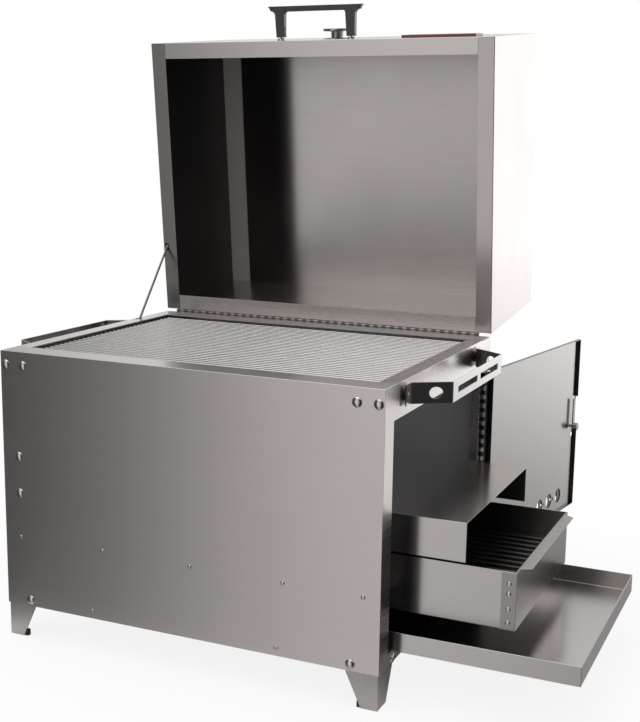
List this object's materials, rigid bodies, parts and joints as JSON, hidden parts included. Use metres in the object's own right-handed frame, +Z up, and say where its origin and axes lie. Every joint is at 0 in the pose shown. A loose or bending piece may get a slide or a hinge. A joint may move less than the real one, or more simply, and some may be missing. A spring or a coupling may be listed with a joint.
{
  "type": "charcoal grill",
  "caption": "Free-standing stainless charcoal grill with a hinged lid, cooking grate, side door, sliding firebox, heat deflector and ash pan, and fixed side handles.",
  "frame": {"origin": "middle of the sole of the front left foot, on the ground", "axes": "+X along the front towards the door side, +Y from the front towards the lid hinge, +Z up"},
  "size_m": [0.969, 0.8864, 1.0205],
  "materials": {
    "brushed_stainless": "satin, brushed lengthways",
    "bright_fasteners": "polished",
    "plated_rod": "bright plated wire",
    "hinge_steel": "bright rolled steel",
    "black_phenolic": "moulded, semi-gloss",
    "black_rubber": "matt",
    "plate_enamel": "red-brown enamel, bare",
    "gauge_case": "satin",
    "gauge_face": "matt white",
    "gauge_pointer": "matt black",
    "gauge_glass": "clear"
  },
  "bodies": {
    "frame_body": {"carriage_bolts": "bright_fasteners", "door_hinge_frame_leaf": "hinge_steel", "door_hinge_pin": "hinge_steel", "drawer_stops": "brushed_stainless", "front_ash_rail": "brushed_stainless", "front_firebox_rail": "brushed_stainless", "front_panel": "brushed_stainless", "handle_rivets": "bright_fasteners", "handle_spacers": "black_phenolic", "hex_nuts": "bright_fasteners", "left_grate_rail": "brushed_stainless", "left_handle": "brushed_stainless", "left_side_panel": "brushed_stainless", "leg_front_left": "brushed_stainless", "leg_front_right": "brushed_stainless", "leg_rear_left": "brushed_stainless", "leg_rear_right": "brushed_stainless", "lid_hinge_body_leaf": "hinge_steel", "lid_hinge_pin": "hinge_steel", "rail_rivets": "bright_fasteners", "rear_ash_rail": "brushed_stainless", "rear_firebox_rail": "brushed_stainless", "rear_panel": "brushed_stainless", "right_grate_rail": "brushed_stainless", "right_handle": "brushed_stainless", "right_side_frame": "brushed_stainless", "rubber_feet": "black_rubber"},
    "lid": {"handle_ferrules": "bright_fasteners", "handle_screws": "bright_fasteners", "lid_handle": "black_phenolic", "lid_hinge_lid_leaf": "hinge_steel", "lid_left_wall": "brushed_stainless", "lid_right_wall": "brushed_stainless", "lid_wrapper": "brushed_stainless", "name_plate": "plate_enamel", "thermometer_case": "gauge_case", "thermometer_dial": "gauge_face", "thermometer_lens": "gauge_glass", "thermometer_nut": "gauge_case", "thermometer_probe": "gauge_case"},
    "lid_stay": {"lid_stay": "plated_rod"},
    "cooking_grate": {"cooking_grate": "plated_rod"},
    "door": {"door_hinge_door_leaf": "hinge_steel", "door_pan": "brushed_stainless", "vent_studs": "bright_fasteners"},
    "vent_slider": {"vent_slider": "brushed_stainless"},
    "latch": {"latch_bar": "brushed_stainless", "latch_knob": "black_phenolic", "latch_nut": "bright_fasteners", "latch_spindle": "brushed_stainless"},
    "firebox": {"charcoal_grate": "plated_rod", "firebox_end_panel": "brushed_stainless", "firebox_pan": "brushed_stainless", "firebox_rivets": "bright_fasteners"},
    "heat_deflector": {"heat_deflector": "brushed_stainless"},
    "ash_pan": {"ash_pan": "brushed_stainless"},
    "gauge_pointer": {"thermometer_pointer": "gauge_pointer"}
  },
  "joints": [
    {"name": "lid_hinge", "type": "hinge", "parent": "frame_body", "child": "lid", "pos_m": [0.3015, 0.496, 0.468], "axis": [1, 0, 0], "range_deg": [0, 84.3]},
    {"name": "stay_swing", "type": "hinge", "parent": "frame_body", "child": "lid_stay", "pos_m": [-0.0125, 0.3745, 0.452], "axis": [1, 0, 0], "range_deg": [0, 42.3]},
    {"name": "grate_lift", "type": "slide", "parent": "frame_body", "child": "cooking_grate", "axis": [0, 0, 1], "range_m": [0, 0.04]},
    {"name": "door_hinge", "type": "hinge", "parent": "frame_body", "child": "door", "pos_m": [0.6245, 0.4575, 0.24], "axis": [0, 0, 1], "range_deg": [-81.1, 8.9]},
    {"name": "vent_slide", "type": "slide", "parent": "door", "child": "vent_slider", "axis": [-0.1547, -0.988, 0], "range_m": [-0.014, 0.014]},
    {"name": "latch_turn", "type": "hinge", "parent": "door", "child": "latch", "pos_m": [0.68997, 0.85617, 0.24], "axis": [-0.988, 0.1547, 0], "range_deg": [0, 90]},
    {"name": "firebox_slide", "type": "slide", "parent": "frame_body", "child": "firebox", "axis": [1, 0, 0], "range_m": [-0.185, 0.15]},
    {"name": "deflector_slide", "type": "slide", "parent": "frame_body", "child": "heat_deflector", "axis": [1, 0, 0], "range_m": [-0.115, 0.15]},
    {"name": "ash_slide", "type": "slide", "parent": "frame_body", "child": "ash_pan", "axis": [1, 0, 0], "range_m": [-0.29, 0.15]},
    {"name": "pointer_turn", "type": "hinge", "parent": "lid", "child": "gauge_pointer", "pos_m": [0.3015, 0.55264, 0.98795], "axis": [0, -0.0993, 0.9951], "range_deg": [-240, 0]}
  ],
  "couplings": [
    {"joint": "stay_swing", "follows": "lid_hinge", "ratio": 0.5}
  ]
}
